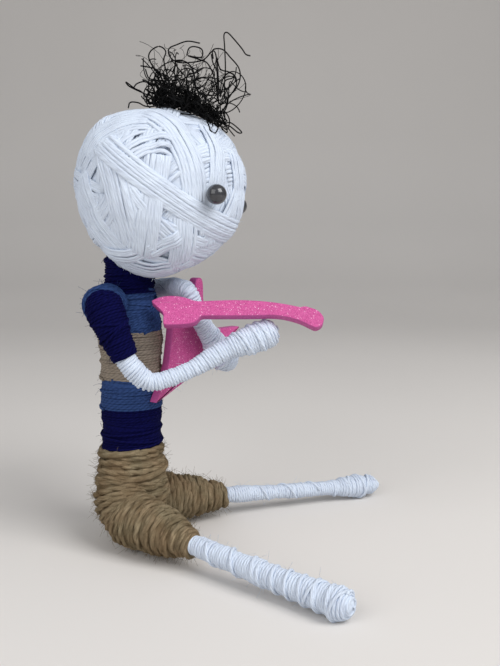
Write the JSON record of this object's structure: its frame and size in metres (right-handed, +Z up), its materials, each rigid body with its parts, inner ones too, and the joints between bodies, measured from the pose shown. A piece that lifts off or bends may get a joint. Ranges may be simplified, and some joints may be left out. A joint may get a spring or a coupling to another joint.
{
  "type": "string doll",
  "caption": "Seated yarn-wound string doll with a large round head, bead eyes, curly hair, striped shirt and jute shorts, holding a pink foam guitar across its chest.",
  "frame": {"origin": "on the table, in the middle of the flat seat under the torso", "axes": "+Z up along the spine; the doll faces -Y and its left side is +X"},
  "size_m": [0.0719, 0.061, 0.1045],
  "materials": {
    "batting": "matte wadding",
    "wire": "drawn wire",
    "jute": "hairy twine",
    "navy_yarn": "matte yarn",
    "denim_yarn": "matte yarn",
    "beige_yarn": "matte yarn",
    "white_yarn": "matte cotton",
    "bead": "pearl gloss",
    "hair": "black thread",
    "foam": "glitter foam"
  },
  "bodies": {
    "torso": {"torso_padding": "batting", "spine_wire": "wire", "shoulder_wire": "wire", "hip_twine": "jute", "waist_yarn": "navy_yarn", "low_stripe_yarn": "denim_yarn", "beige_stripe_yarn": "beige_yarn", "chest_yarn": "denim_yarn", "collar_yarn": "navy_yarn", "guitar_body": "foam", "guitar_neck": "foam", "left_sleeve_padding": "batting", "left_shoulder_yarn": "denim_yarn", "left_upper_arm_padding": "batting", "left_upper_arm_yarn": "white_yarn", "left_upper_arm_wire": "wire"},
    "head": {"head_ball": "batting", "head_yarn": "white_yarn", "hair_tuft": "hair", "right_eye_bead": "bead", "right_eye_pin": "wire", "left_eye_bead": "bead", "left_eye_pin": "wire"},
    "right_arm": {"right_sleeve_padding": "batting", "right_shoulder_yarn": "denim_yarn", "right_sleeve_yarn": "navy_yarn", "right_upper_arm_padding": "batting", "right_upper_arm_yarn": "white_yarn", "right_upper_arm_wire": "wire"},
    "right_forearm": {"right_forearm_padding": "batting", "right_forearm_yarn": "white_yarn", "right_forearm_wire": "wire"},
    "left_forearm": {"left_forearm_padding": "batting", "left_forearm_yarn": "white_yarn", "left_forearm_wire": "wire"},
    "right_thigh": {"right_thigh_padding": "jute", "right_thigh_twine": "jute", "right_thigh_wire": "wire"},
    "right_shin": {"right_shin_padding": "batting", "right_shin_yarn": "white_yarn", "right_shin_wire": "wire"},
    "left_thigh": {"left_thigh_padding": "jute", "left_thigh_twine": "jute", "left_thigh_wire": "wire"},
    "left_shin": {"left_shin_padding": "batting", "left_shin_yarn": "white_yarn", "left_shin_wire": "wire"}
  },
  "joints": [
    {"name": "head_turn", "type": "hinge", "parent": "torso", "child": "head", "pos_m": [0, 0, 0.06], "axis": [0, 0, 1], "range_deg": [-25, 25]},
    {"name": "right_shoulder", "type": "hinge", "parent": "torso", "child": "right_arm", "pos_m": [-0.0103, 0.0023, 0.0515], "axis": [1, 0, 0], "range_deg": [0, 12]},
    {"name": "right_elbow", "type": "hinge", "parent": "right_arm", "child": "right_forearm", "pos_m": [-0.0098, -0.0075, 0.0354], "axis": [0.9048, 0.4258, 0], "range_deg": [0, 20]},
    {"name": "left_elbow", "type": "hinge", "parent": "torso", "child": "left_forearm", "pos_m": [0.00007, -0.01268, 0.053], "axis": [-0.866, 0.5, 0], "range_deg": [0, 12]},
    {"name": "right_hip", "type": "hinge", "parent": "torso", "child": "right_thigh", "pos_m": [0, 0, 0.0065], "axis": [0, 0, 1], "range_deg": [-20, 6]},
    {"name": "right_knee", "type": "hinge", "parent": "right_thigh", "child": "right_shin", "pos_m": [-0.01563, -0.01846, 0.005], "axis": [-0.8788, 0.4772, 0], "range_deg": [-30, 40]},
    {"name": "left_hip", "type": "hinge", "parent": "torso", "child": "left_thigh", "pos_m": [0, 0, 0.0065], "axis": [0, 0, 1], "range_deg": [-6, 20]},
    {"name": "left_knee", "type": "hinge", "parent": "left_thigh", "child": "left_shin", "pos_m": [0.01669, -0.01784, 0.005], "axis": [-0.8453, -0.5344, 0], "range_deg": [-30, 40]}
  ]
}
